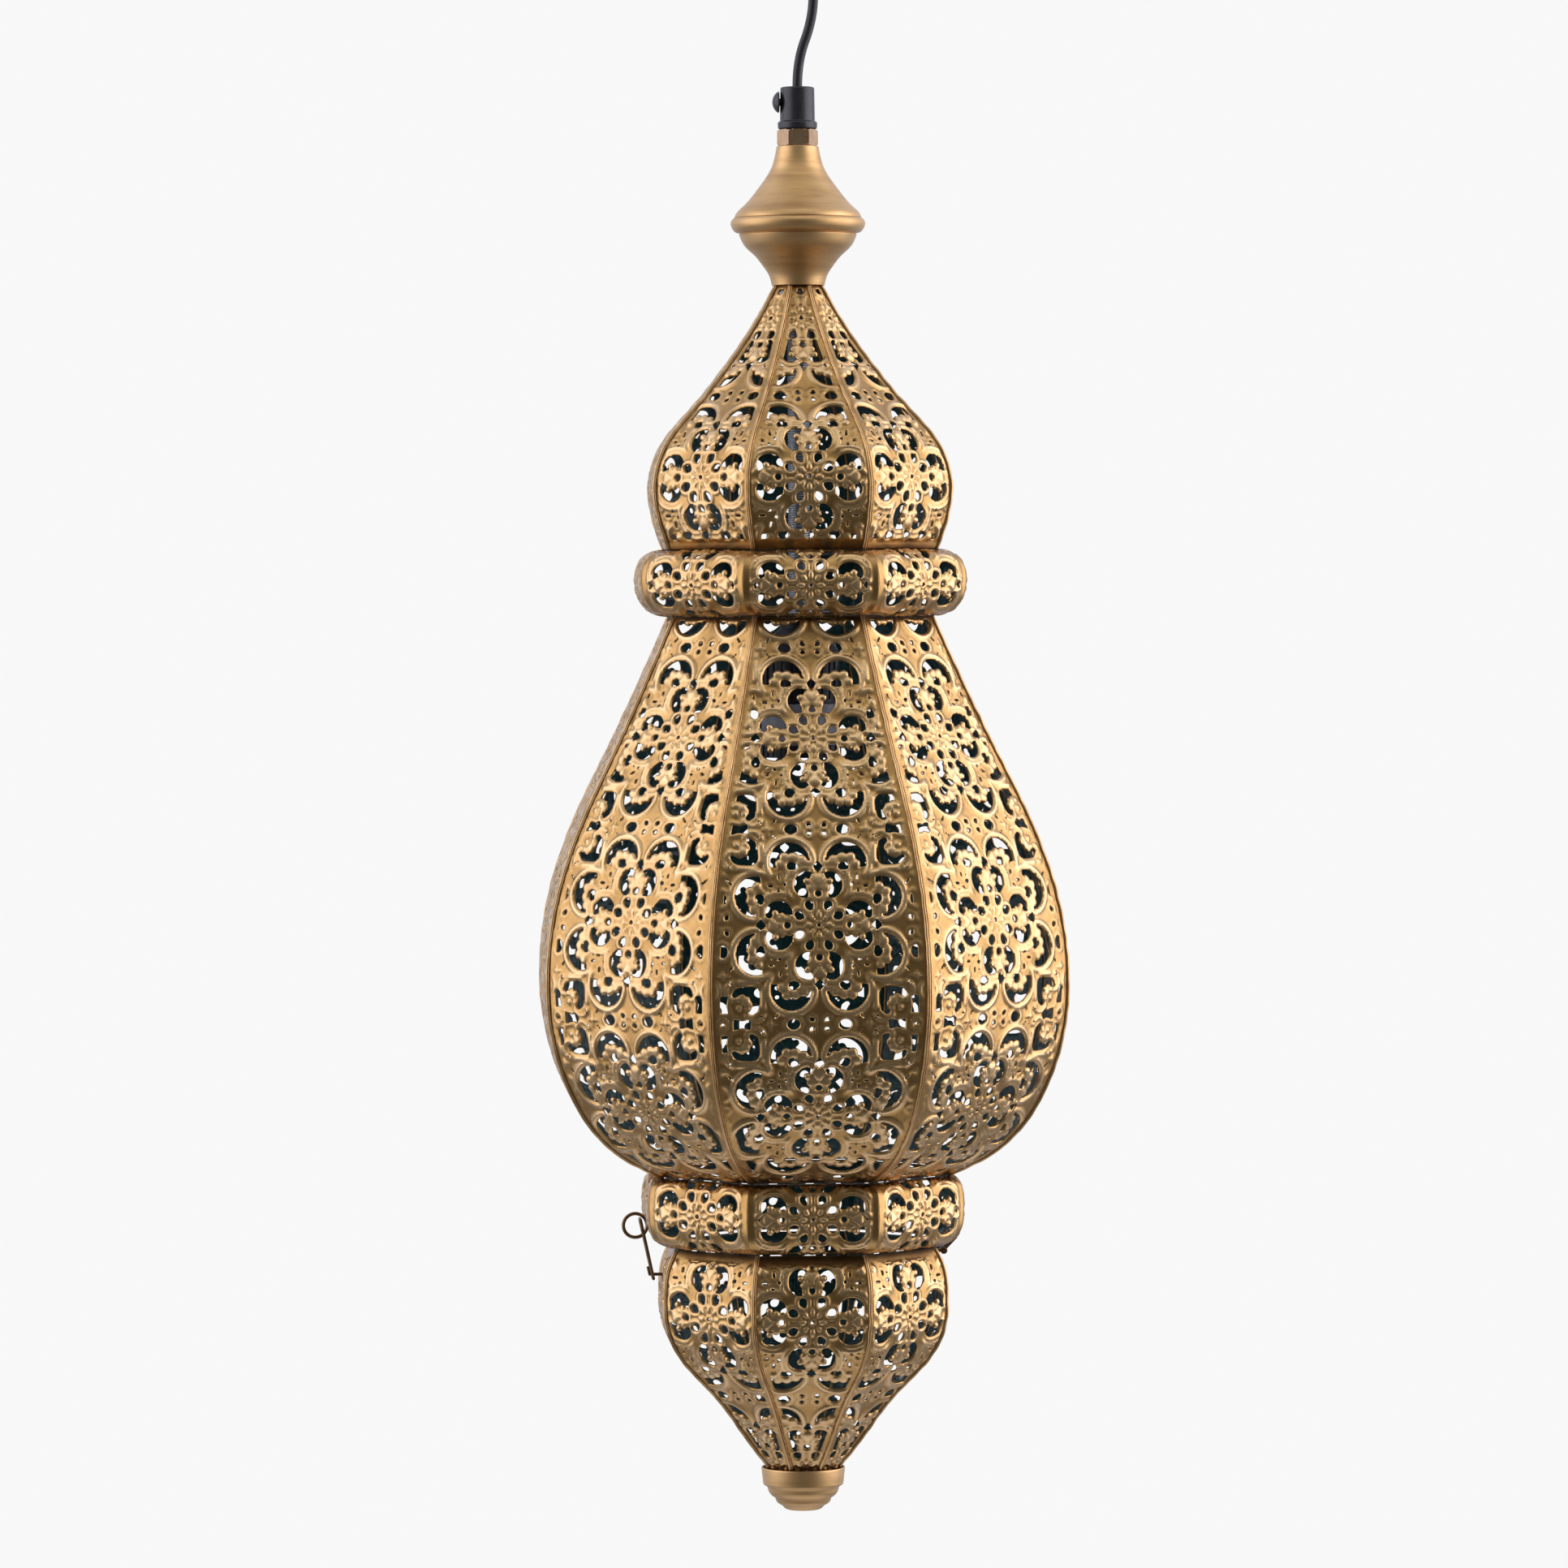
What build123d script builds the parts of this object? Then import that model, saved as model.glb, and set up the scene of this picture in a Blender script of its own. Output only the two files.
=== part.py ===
"""Eight-sided hanging lantern of pierced sheet metal, built as separate soldered and bolted pieces.

The frame's origin is the centre of the ceiling face, +Z up, so everything hangs below z = 0.
The sheet-metal sections are regular octagons with one side facing -Y. The bottom bowl swings
down on a hinge at +X and is held shut by a wire link at -X. All sizes are in millimetres.
"""

import os
from math import cos, pi, radians, sin, tan

from build123d import *

# ---------------------------------------------------------------- driving dimensions
SIDES = 8
HALF_ANGLE = 180 / SIDES
SHEET = 0.6
SEAM_HALF = 0.9
SEAM_PROUD = 0.9
SEAM_DEPTH = 1.0

CUP_RADIUS = 50.0
CUP_HEIGHT = 26.0
CUP_SHEET = 1.0
CUP_LIP = 3.5
CUP_SCREW_Z = -6.5
CUP_FLOOR_Z = -CUP_HEIGHT + 1.2
CUP_NUT_HEIGHT = 5.0
STRAP_LENGTH = 88.0
STRAP_WIDTH = 16.0
STRAP_SHEET = 2.0
STRAP_DROP = 12.0
CEILING_HOLE_OFFSET = 32.0
CEILING_HOLE_RADIUS = 2.25
SMALL_SCREW_RADIUS = 1.5

GRIP_LENGTH = 18.0
GRIP_THREAD_DEPTH = 7.0
GRIP_SCREW_FROM_END = 6.5
GRIP_SCREW_RADIUS = 1.6
FLEX_DIAMETER = 4.2
FLEX_BORE_RADIUS = 2.3

NUT_HEIGHT = 7.4
NUT_CORNERS = 17.6
FINIAL_TOP_HEIGHT = 30.6
BEAD_HEIGHT = 7.2
FINIAL_BOTTOM_HEIGHT = 21.8
DOME_HEIGHT = 113.6
UPPER_BAND_HEIGHT = 27.8
BODY_HEIGHT = 239.6
LOWER_BAND_HEIGHT = 30.5
BOWL_GAP = 0.5
BOWL_HEIGHT = 99.5
CAP_RIM_ABOVE_BOWL_END = 3.0

ROD_RADIUS = 5.0
ROD_BORE_RADIUS = 3.4
ROD_CLEARANCE = 0.2
SPUN_SHEET = 1.0
SPUN_FLOOR = 1.2
WASHER_HEIGHT = 1.5
LOWER_NUT_CORNERS = 15.6
LOWER_NUT_HEIGHT = 6.0

# Outlines: (apothem, depth below the top of the section), outside of the sheet.
DOME_OUTLINE = [(9.8, 0), (20.4, 19), (32.2, 36), (45.6, 52.7), (58.8, 69.4), (63.5, 86.5), (60.8, 103),
                (57.2, DOME_HEIGHT)]
UPPER_BAND_OUTLINE = [(58.0, 0), (65.0, 2.0), (68.8, 7.6), (69.4, 14.6), (67.0, 22.2), (62.2, 26.5),
                      (56.0, UPPER_BAND_HEIGHT)]
BODY_OUTLINE = [(55.2, 0), (79.2, 53.3), (98.8, 95.6), (107.3, 123.6), (110.7, 158.6), (106.6, 187.1),
                (100.3, 203.7), (92.0, 217.7), (85.7, 224.7), (76.7, 231.7), (61.2, BODY_HEIGHT)]
LOWER_BAND_OUTLINE = [(61.0, 0), (65.0, 2.2), (67.5, 10.5), (67.3, 18.5), (65.6, 25.0), (62.2, 28.7),
                      (57.8, LOWER_BAND_HEIGHT)]
BOWL_OUTLINE = [(55.3, 0), (58.8, 7.5), (60.5, 19.5), (60.2, 30.0), (58.2, 38.3), (52.4, 48.7), (42.8, 59.4),
                (31.4, 73.5), (21.7, 87.6), (15.2, 96.4), (13.4, BOWL_HEIGHT)]
FINIAL_TOP_OUTLINE = [(9.0, 0), (11.3, 9.1), (16.7, 17.5), (23.7, 25.8), (27.0, 29.6),
                      (27.3, FINIAL_TOP_HEIGHT)]
FINIAL_BOTTOM_OUTLINE = [(25.3, 0), (23.0, 4.7), (18.7, 8.9), (15.3, 13.1), (12.6, 17.3),
                         (11.3, FINIAL_BOTTOM_HEIGHT)]
BEAD_SECTION = [(22.0, 0), (27.6, 0), (28.7, 0.8), (29.0, 2.1), (28.5, 3.8), (26.2, 6.6), (25.6, BEAD_HEIGHT),
                (22.0, BEAD_HEIGHT)]
CAP_STEPS = [(18.1, 0), (17.3, 7.6), (15.6, 8.4), (15.0, 10.8), (13.5, 12.6), (12.2, 13.2), (11.6, 15.2),
             (10.2, 16.2), (9.2, 16.6), (8.2, 17.9), (6.8, 18.5)]
CAP_WALL = 0.8
CUP_OUTLINE = [(CUP_RADIUS, 0), (CUP_RADIUS - 0.8, 8), (CUP_RADIUS - 9, 17.5), (26, 22.6), (7.2, CUP_HEIGHT)]

# The flex: (x, height above the cord grip). It leaves upwards, bows to one side and enters the cup's grip.
FLEX_ROUTE = [(0, 0), (0, 11.1), (6.6, 28.6), (7.4, 46), (0, 64), (0, 74)]

HOLDER_TOP_BELOW_BAND = 1.0
HOLDER_CAP_HEIGHT = 37.0
HOLDER_SKIRT_HEIGHT = 18.0
HOLDER_RING_HEIGHT = 5.0
HOLDER_RADIUS = 16.5
HOLDER_WALL = 2.3
HOLDER_SHOULDER = 14.0
CAP_RIB_COUNT = 24
RING_RIB_COUNT = 30
CONTACT_ABOVE_SHELL = 10.6
CONTACT_BLOCK_HEIGHT = 8.0
LAMP_THREAD_RADIUS = 13.3
SHELL_WALL = 0.4
SHELL_HEIGHT = 22.0

HINGE_X = 60.6
HINGE_BELOW_BAND = 3.6
KNUCKLE_RADIUS = 1.5
PIN_RADIUS = 0.7
PIN_CLEARANCE = 0.05
KNUCKLE_HALF = 3.0
HINGE_HALF = 8.0
KNUCKLE_GAP = 0.2
LEAF = 0.8
LEAF_DROP = 15.0
LEAF_RISE = 0.6

EYE_X = -72.0
EYE_BELOW_BAND_TOP = 22.6
EYE_RADIUS = 5.1
EYE_WIRE = 0.75
LINK_WIRE = 0.7
LINK_PIVOT_OFFSET = 3.3
LINK_PIVOT_ANGLE = 50.0
LINK_LENGTH = 25.9
LINK_LEAN = 12.3
LINK_TOP_HALF = 4.0
LINK_BOTTOM_HALF = 2.7
HOOK_CLEARANCE = 0.3
HOOK_REACH = 1.1
HOOK_TIP = 3.4

# ---------------------------------------------------------------- heights, from the ceiling down
grip_top_z = -CUP_HEIGHT - GRIP_LENGTH - FLEX_ROUTE[-1][1]
nut_top_z = grip_top_z - GRIP_LENGTH
finial_z = nut_top_z - NUT_HEIGHT
bead_z = finial_z - FINIAL_TOP_HEIGHT
finial_bottom_z = bead_z - BEAD_HEIGHT
dome_z = finial_bottom_z - FINIAL_BOTTOM_HEIGHT
upper_band_z = dome_z - DOME_HEIGHT
body_z = upper_band_z - UPPER_BAND_HEIGHT
lower_band_z = body_z - BODY_HEIGHT
band_bottom_z = lower_band_z - LOWER_BAND_HEIGHT
bowl_z = band_bottom_z - BOWL_GAP
bowl_bottom_z = bowl_z - BOWL_HEIGHT
cap_rim_z = bowl_bottom_z + CAP_RIM_ABOVE_BOWL_END

parts = {}


# ---------------------------------------------------------------- shape helpers
def outline_edge(outline, top_z, offset=0.0, scale=1.0):
    """A smooth curve in the XZ plane through an outline, moved along its own normal by offset."""
    points = [Vector(r * scale, 0, top_z - depth) for r, depth in outline]
    curve = Spline(*points)
    if offset == 0.0:
        return curve
    count = 2 * len(points) - 1
    moved = []
    for step in range(count):
        where = curve.position_at(step / (count - 1))
        along = curve.tangent_at(step / (count - 1))
        moved.append(where + Vector(-along.Z, 0, along.X) * offset)
    return Spline(*moved)


def strip_face(outline, top_z, inside, outside=0.0, scale=1.0):
    """The cross-section of a sheet that follows an outline: from inside it to outside it."""
    outer = outline_edge(outline, top_z, outside, scale)
    inner = outline_edge(outline, top_z, -inside, scale)
    start = Line(outer @ 0, inner @ 0)
    end = Line(outer @ 1, inner @ 1)
    return make_face([outer, start, inner, end])


def sector(low_z, high_z, edge_gap=0.0, reach=160.0):
    """One side's share of the octagon, about +X, less edge_gap along each mitre."""
    half = radians(HALF_ANGLE)
    apex = edge_gap / sin(half)
    far = reach * tan(half) - edge_gap / cos(half)
    plan = Polyline((apex, 0), (reach, -far), (reach, far), close=True)
    return extrude(Plane.XY.offset(low_z) * make_face(plan), high_z - low_z)


def side_panel(outline, top_z, height, edge_gap):
    """One curved side of a section, about +X."""
    sheet = extrude(strip_face(outline, top_z, SHEET), 80, both=True)
    return sheet & sector(top_z - height, top_z, edge_gap)


def around(solid, start=0.0):
    """Eight copies of a piece about +X; the first one faces -Y."""
    return [Rot(0, 0, -90 + start + side * 360 / SIDES) * solid for side in range(SIDES)]


def seam_strips(outline, top_z, height):
    """The eight folded seams that stand along the corners of a section."""
    to_corner = 1 / cos(radians(HALF_ANGLE))
    face = strip_face(outline, top_z, SEAM_DEPTH, SEAM_PROUD, to_corner)
    strip = extrude(face, SEAM_HALF, both=True)
    slab = Pos(0, 0, top_z - height / 2) * Box(400, 400, height)
    return around(strip & slab, HALF_ANGLE)


def spun(points, top_z):
    """A turned solid from (radius, depth) corners."""
    corners = [(r, 0, top_z - depth) for r, depth in points]
    return revolve(make_face(Polyline(*corners, close=True)), Axis.Z)


def spun_sheet(outline, top_z, thickness):
    """A spun sheet-metal shell that follows an outline."""
    return revolve(strip_face(outline, top_z, thickness), Axis.Z)


def trimmed(solid, top_z, height):
    """The part of a solid between two heights."""
    return solid & (Pos(0, 0, top_z - height / 2) * Box(400, 400, height))


def tube(outer, inner, top_z, height):
    """A vertical tube, or a rod if inner is 0."""
    place = Pos(0, 0, top_z - height / 2)
    body = place * Cylinder(outer, height)
    return body - place * Cylinder(inner, height) if inner else body


def hex_nut(corners, bore, top_z, height, chamfer=1.0):
    """A hexagon nut with turned corners and a plain bore."""
    blank = extrude(Plane.XY.offset(top_z - height) * RegularPolygon(corners / 2, 6), height)
    turned = spun([(0, 0), (corners / 2 - chamfer, 0), (corners / 2, chamfer * 0.6),
                   (corners / 2, height - chamfer * 0.6), (corners / 2 - chamfer, height),
                   (0, height)], top_z)
    return (blank & turned) - tube(bore, 0, top_z, height)


def wire_run(points, radius, closed=False):
    """Round wire along straight runs, with a ball at each bend."""
    points = [Vector(*point) for point in points]
    runs = list(zip(points, points[1:] + points[:1] if closed else points[1:]))
    balls = points if closed else points[1:-1]
    pieces = []
    for start, end in runs:
        along = end - start
        middle = Plane(origin=(start + end) / 2, z_dir=along)
        pieces.append(middle * Cylinder(radius, along.length))
    pieces += [Pos(*ball) * Sphere(radius) for ball in balls]
    return pieces[0].fuse(*pieces[1:])


def along_y(radius, low_y, high_y, x, z):
    """A cylinder about a line parallel to Y."""
    return Pos(x, (low_y + high_y) / 2, z) * Rot(90, 0, 0) * Cylinder(radius, high_y - low_y)


def left_fill(outline, top_z, bottom_z):
    """A slab that fills a section from its axis to its outside face, about -X."""
    outer = outline_edge(outline, top_z)
    closing = Polyline(outer @ 1, (0, 0, bottom_z), (0, 0, top_z), outer @ 0)
    return Rot(0, 0, 180) * extrude(make_face([outer] + list(closing.edges())), 5, both=True)


# ---------------------------------------------------------------- ceiling fitting
def ceiling_fitting():
    """Spun cup, strap that screws to the ceiling, two side screws, nipple and nut."""
    shell = trimmed(spun_sheet(CUP_OUTLINE, 0, CUP_SHEET), 0, CUP_HEIGHT)
    lip = tube(CUP_RADIUS - 0.5, CUP_RADIUS - CUP_LIP, 0, CUP_SHEET)
    floor = tube(8.5, ROD_RADIUS, CUP_FLOOR_Z, SPUN_FLOOR)
    side_holes = Pos(0, 0, CUP_SCREW_Z) * Rot(0, 90, 0) * Cylinder(SMALL_SCREW_RADIUS, 3 * CUP_RADIUS)
    parts["ceiling_cup"] = shell + lip + floor - side_holes

    strap = Pos(0, 0, -STRAP_SHEET / 2) * Box(STRAP_LENGTH, STRAP_WIDTH, STRAP_SHEET)
    for side in (-1, 1):
        leg_x = side * (STRAP_LENGTH - STRAP_SHEET) / 2
        strap += Pos(leg_x, 0, -STRAP_DROP / 2) * Box(STRAP_SHEET, STRAP_WIDTH, STRAP_DROP)
        hole = Pos(side * CEILING_HOLE_OFFSET, 0, -STRAP_SHEET / 2)
        strap -= hole * Cylinder(CEILING_HOLE_RADIUS, STRAP_SHEET)
    parts["ceiling_bracket"] = strap - side_holes

    screws = []
    for side in (0, 180):
        shaft = Pos(46.2, 0, CUP_SCREW_Z) * Rot(0, 90, 0) * Cylinder(SMALL_SCREW_RADIUS, 8.4)
        seat = Pos(50.4, 0, CUP_SCREW_Z) * Rot(0, 90, 0)
        head = seat * Cone(3.2, 2.2, 1.6, align=(Align.CENTER, Align.CENTER, Align.MIN))
        screws.append(Rot(0, 0, side) * (shaft + head))
    parts["cup_side_screws"] = Compound(screws)

    parts["cup_nipple"] = tube(ROD_RADIUS, ROD_BORE_RADIUS, -15, 17)
    parts["cup_nut"] = hex_nut(NUT_CORNERS, ROD_RADIUS, CUP_FLOOR_Z + CUP_NUT_HEIGHT, CUP_NUT_HEIGHT)


def cord_grip_body(top_z, upside_down=False):
    """Plastic cord grip: slightly tapered barrel, flange at the threaded end, cord hole at the other."""
    thread_start = GRIP_LENGTH - GRIP_THREAD_DEPTH
    barrel = [(FLEX_BORE_RADIUS, 0), (6.7, 0), (7.3, 0.5), (7.5, 14.6), (8.3, 15.0), (8.5, 15.5), (8.4, 17.6),
              (8.0, GRIP_LENGTH), (ROD_RADIUS, GRIP_LENGTH), (ROD_RADIUS, thread_start),
              (FLEX_BORE_RADIUS, thread_start)]
    if upside_down:
        barrel = [(r, GRIP_LENGTH - depth) for r, depth in barrel]
    body = spun(barrel, top_z)
    screw_depth = GRIP_LENGTH - GRIP_SCREW_FROM_END if upside_down else GRIP_SCREW_FROM_END
    middle_z = top_z - screw_depth
    return body - Pos(-6, 0, middle_z) * Rot(0, 90, 0) * Cylinder(GRIP_SCREW_RADIUS, 12), middle_z


def grip_screw(middle_z):
    """Clamp screw of a cord grip, with a low domed head at -X."""
    shaft = Pos(-5.4, 0, middle_z) * Rot(0, 90, 0) * Cylinder(GRIP_SCREW_RADIUS, 5.0)
    seat = Plane(origin=(-7.9, 0, middle_z), z_dir=(-1, 0, 0))
    dome = Pos(0, 0, -2.6) * Sphere(5.5)
    head = (dome & (Pos(0, 0, 5) * Box(12, 12, 10))) & Cylinder(4.5, 10)
    return shaft + seat * head


def cords():
    """Flex between the two cord grips, and the grips with their clamp screws."""
    body, middle_z = cord_grip_body(grip_top_z)
    parts["cord_grip"] = body
    parts["cord_grip_screw"] = grip_screw(middle_z)
    body, middle_z = cord_grip_body(-CUP_HEIGHT, upside_down=True)
    parts["cup_cord_grip"] = body
    parts["cup_grip_screw"] = grip_screw(middle_z)

    route = [Vector(x, 0, grip_top_z + height) for x, height in FLEX_ROUTE]
    radii = []
    for before, corner, after in zip(route, route[1:], route[2:]):
        turn = radians((corner - before).get_angle(after - corner))
        shorter = min((corner - before).length, (after - corner).length)
        radii.append(0.45 * shorter / tan(turn / 2))
    path = FilletPolyline(*route, radius=radii)
    section = Plane(origin=route[0], z_dir=(0, 0, 1)) * Circle(FLEX_DIAMETER / 2)
    flex = sweep(section, path=path)
    parts["flex"] = flex
    ideal = pi * (FLEX_DIAMETER / 2) ** 2 * path.length
    print("flex radii", [round(r, 1) for r in radii], "length", round(path.length, 1), "volume / ideal",
          round(flex.volume / ideal, 4))


# ---------------------------------------------------------------- finial and rod
def finial():
    """Lock nut, two spun cones with a turned bead between them, and the rod that holds the lantern."""
    bore = ROD_RADIUS + ROD_CLEARANCE
    parts["top_lock_nut"] = hex_nut(NUT_CORNERS, ROD_RADIUS, nut_top_z, NUT_HEIGHT)

    shell = trimmed(spun_sheet(FINIAL_TOP_OUTLINE, finial_z, SPUN_SHEET), finial_z, FINIAL_TOP_HEIGHT)
    parts["finial_upper_cone"] = shell + tube(9.0, bore, finial_z, SPUN_FLOOR)

    parts["finial_bead"] = spun(BEAD_SECTION, bead_z)

    shell = spun_sheet(FINIAL_BOTTOM_OUTLINE, finial_bottom_z, SPUN_SHEET)
    shell = trimmed(shell, finial_bottom_z, FINIAL_BOTTOM_HEIGHT)
    parts["finial_lower_cone"] = shell + tube(11.0, bore, dome_z + SPUN_FLOOR, SPUN_FLOOR)

    rod_bottom_z = body_z - HOLDER_TOP_BELOW_BAND - 8
    rod_top_z = nut_top_z + 6
    parts["threaded_rod"] = tube(ROD_RADIUS, ROD_BORE_RADIUS, rod_top_z, rod_top_z - rod_bottom_z)
    parts["retaining_washer"] = tube(9.0, ROD_RADIUS, dome_z, WASHER_HEIGHT)
    parts["retaining_nut"] = hex_nut(LOWER_NUT_CORNERS, ROD_RADIUS, dome_z - WASHER_HEIGHT, LOWER_NUT_HEIGHT)


# ---------------------------------------------------------------- lamp holder
def lamp_holder():
    """Pendant lamp holder on the lower end of the rod: cap, skirt, clamp ring, screw shell and contact."""
    cap_z = body_z - HOLDER_TOP_BELOW_BAND
    skirt_z = cap_z - HOLDER_CAP_HEIGHT
    ring_z = skirt_z - HOLDER_SKIRT_HEIGHT
    inner = HOLDER_RADIUS - HOLDER_WALL
    cap = spun([(ROD_RADIUS, 0), (8.5, 0), (8.5, 5), (13.5, 8.5), (HOLDER_RADIUS, HOLDER_SHOULDER),
                (HOLDER_RADIUS, HOLDER_CAP_HEIGHT), (inner, HOLDER_CAP_HEIGHT), (inner, HOLDER_SHOULDER + 2),
                (ROD_RADIUS, HOLDER_SHOULDER - 2)], cap_z)
    groove = Pos(HOLDER_RADIUS, 0, cap_z - 27) * Box(1.2, 1.6, 16)
    for rib in range(CAP_RIB_COUNT):
        cap -= Rot(0, 0, rib * 360 / CAP_RIB_COUNT) * groove
    parts["lamp_holder_cap"] = cap
    parts["lamp_holder_skirt"] = tube(HOLDER_RADIUS, inner, skirt_z, HOLDER_SKIRT_HEIGHT)
    ring = tube(HOLDER_RADIUS + 1.2, LAMP_THREAD_RADIUS + SHELL_WALL, ring_z, HOLDER_RING_HEIGHT)
    notch = Pos(HOLDER_RADIUS + 1.5, 0, ring_z - HOLDER_RING_HEIGHT / 2) * Box(1.4, 1.6, HOLDER_RING_HEIGHT)
    for rib in range(RING_RIB_COUNT):
        ring -= Rot(0, 0, rib * 360 / RING_RIB_COUNT) * notch
    parts["lamp_holder_ring"] = ring

    shell_z = ring_z - HOLDER_RING_HEIGHT + SHELL_HEIGHT
    parts["screw_shell"] = tube(LAMP_THREAD_RADIUS + SHELL_WALL, LAMP_THREAD_RADIUS, shell_z, SHELL_HEIGHT)
    insulator_z = shell_z + CONTACT_ABOVE_SHELL
    parts["contact_block"] = tube(inner, ROD_BORE_RADIUS, insulator_z, CONTACT_BLOCK_HEIGHT)
    tongue = Pos(4.5, 0, insulator_z - 9.5) * Box(9, 5, 0.6) + Pos(7.5, 0, insulator_z - 8.6) * Box(3, 5, 1.2)
    parts["centre_contact"] = tongue


# ---------------------------------------------------------------- sheet-metal sections
def panelled_section(name, outline, top_z, height, seam_height):
    """A section with eight separate panels and its folded corner seams."""
    panel = side_panel(outline, top_z, height, SEAM_HALF)
    for number, solid in enumerate(around(panel), 1):
        parts[f"{name}_panel_{number}"] = solid
    parts[f"{name}_seams"] = Compound(seam_strips(outline, top_z, seam_height))


def band(name, outline, top_z, height):
    """A half-round pressed band, mitred at the eight corners."""
    length = side_panel(outline, top_z, height, 0.0)
    parts[name] = Compound(around(length))


def sections():
    """Dome, upper band, body, lower band, and the bowl with its stepped cap."""
    panelled_section("dome", DOME_OUTLINE, dome_z, DOME_HEIGHT, DOME_HEIGHT)
    band("upper_band", UPPER_BAND_OUTLINE, upper_band_z, UPPER_BAND_HEIGHT)
    panelled_section("body", BODY_OUTLINE, body_z, BODY_HEIGHT, BODY_HEIGHT)
    band("lower_band", LOWER_BAND_OUTLINE, lower_band_z, LOWER_BAND_HEIGHT)
    panelled_section("bowl", BOWL_OUTLINE, bowl_z, BOWL_HEIGHT, bowl_z - cap_rim_z)

    inside = [(r - CAP_WALL, depth if depth == 0 else depth - CAP_WALL) for r, depth in CAP_STEPS]
    floor = [(0, CAP_STEPS[-1][1]), (0, inside[-1][1])]
    parts["bottom_cap"] = spun(CAP_STEPS + floor + inside[::-1], cap_rim_z)


# ---------------------------------------------------------------- hinge of the bowl, at +X
def hinge():
    """Three-knuckle hinge: the middle knuckle belongs to the lower band, the outer two to the bowl."""
    z = band_bottom_z - HINGE_BELOW_BAND
    band_side = side_panel(LOWER_BAND_OUTLINE, lower_band_z, LOWER_BAND_HEIGHT, 0.0)
    bowl_side = side_panel(BOWL_OUTLINE, bowl_z, BOWL_HEIGHT, SEAM_HALF)

    strap = Polyline((HINGE_X, 0, z - 0.3), (HINGE_X + 1.4, 0, z), (66.9, 0, z + 5.1), (67.4, 0, z + 10.6),
                     (65.4, 0, z + 10.6), (64.6, 0, z + 6.6), (HINGE_X + 0.4, 0, z + 1.3), close=True)
    leaf = extrude(make_face(strap), KNUCKLE_HALF, both=True) - band_side
    leaf = max(leaf.solids(), key=lambda solid: solid.volume)
    knuckle = along_y(KNUCKLE_RADIUS, -KNUCKLE_HALF, KNUCKLE_HALF, HINGE_X, z)
    bore = along_y(PIN_RADIUS, -KNUCKLE_HALF, KNUCKLE_HALF, HINGE_X, z)
    parts["hinge_band_leaf"] = leaf + knuckle - bore

    sheet = extrude(strip_face(BOWL_OUTLINE, bowl_z, 0.0, LEAF), HINGE_HALF, both=True)
    plate = sheet & (Pos(HINGE_X, 0, z + LEAF_RISE - LEAF_DROP / 2) * Box(20, 2 * HINGE_HALF, LEAF_DROP))
    web_start = HINGE_X - 3.4
    for side in (-1, 1):
        low, high = sorted((side * (KNUCKLE_HALF + KNUCKLE_GAP), side * HINGE_HALF))
        web = Pos((web_start + HINGE_X) / 2, (low + high) / 2, z)
        plate += web * Box(HINGE_X - web_start, high - low, 2 * LEAF_RISE)
        plate += along_y(KNUCKLE_RADIUS, low, high, HINGE_X, z)
    plate -= along_y(PIN_RADIUS + PIN_CLEARANCE, -HINGE_HALF, HINGE_HALF, HINGE_X, z)
    parts["hinge_bowl_leaf"] = plate - bowl_side

    parts["hinge_pin"] = along_y(PIN_RADIUS, -HINGE_HALF - 0.6, HINGE_HALF + 0.6, HINGE_X, z)


# ---------------------------------------------------------------- latch of the bowl, at -X
def latch():
    """Wire eye on the lower band, a long wire link that hangs in it, and the bowl's wire hook."""
    eye_z = lower_band_z - EYE_BELOW_BAND_TOP
    ring = Pos(EYE_X, 0, eye_z) * Rot(90, 0, 0) * Torus(EYE_RADIUS, EYE_WIRE)
    parts["latch_eye"] = ring - left_fill(LOWER_BAND_OUTLINE, lower_band_z, band_bottom_z)

    pivot_angle = radians(LINK_PIVOT_ANGLE)
    pivot_x = EYE_X + LINK_PIVOT_OFFSET * cos(pivot_angle)
    pivot_z = eye_z + LINK_PIVOT_OFFSET * sin(pivot_angle)
    lean = radians(LINK_LEAN)
    loop = [(0, -LINK_TOP_HALF, 0), (0, LINK_TOP_HALF, 0),
            (0, LINK_BOTTOM_HALF, -LINK_LENGTH), (0, -LINK_BOTTOM_HALF, -LINK_LENGTH)]
    hanging = Pos(pivot_x, 0, pivot_z) * Rot(0, -LINK_LEAN, 0)
    parts["latch_link"] = hanging * wire_run(loop, LINK_WIRE, closed=True)
    print("latch pivot", round(pivot_x, 3), round(pivot_z, 3))

    reach = LINK_LENGTH - 2 * LINK_WIRE - HOOK_CLEARANCE
    hook_x = pivot_x + reach * sin(lean)
    hook_z = pivot_z - reach * cos(lean)
    bend_x = hook_x - HOOK_REACH
    route = [(-55, 0, hook_z), (bend_x, 0, hook_z), (bend_x - 0.8, 0, hook_z + HOOK_TIP)]
    parts["latch_hook"] = wire_run(route, LINK_WIRE) - left_fill(BOWL_OUTLINE, bowl_z, bowl_bottom_z)


ceiling_fitting()
cords()
finial()
lamp_holder()
sections()
hinge()
latch()

os.makedirs("parts", exist_ok=True)
for name, shape in parts.items():
    export_step(shape, f"parts/{name}.step")
print(len(parts), "nodes; heights:", {"dome": round(dome_z, 1), "upper_band": round(upper_band_z, 1),
      "body": round(body_z, 1), "lower_band": round(lower_band_z, 1), "bowl": round(bowl_z, 1),
      "cap_rim": round(cap_rim_z, 1), "hinge": round(band_bottom_z - HINGE_BELOW_BAND, 2)})
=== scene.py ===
"""Looks of the eight-sided hanging lantern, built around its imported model. Metres, +Z up."""

import math
from dataclasses import dataclass

import bpy
import numpy as np
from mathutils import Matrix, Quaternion, Vector


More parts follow.
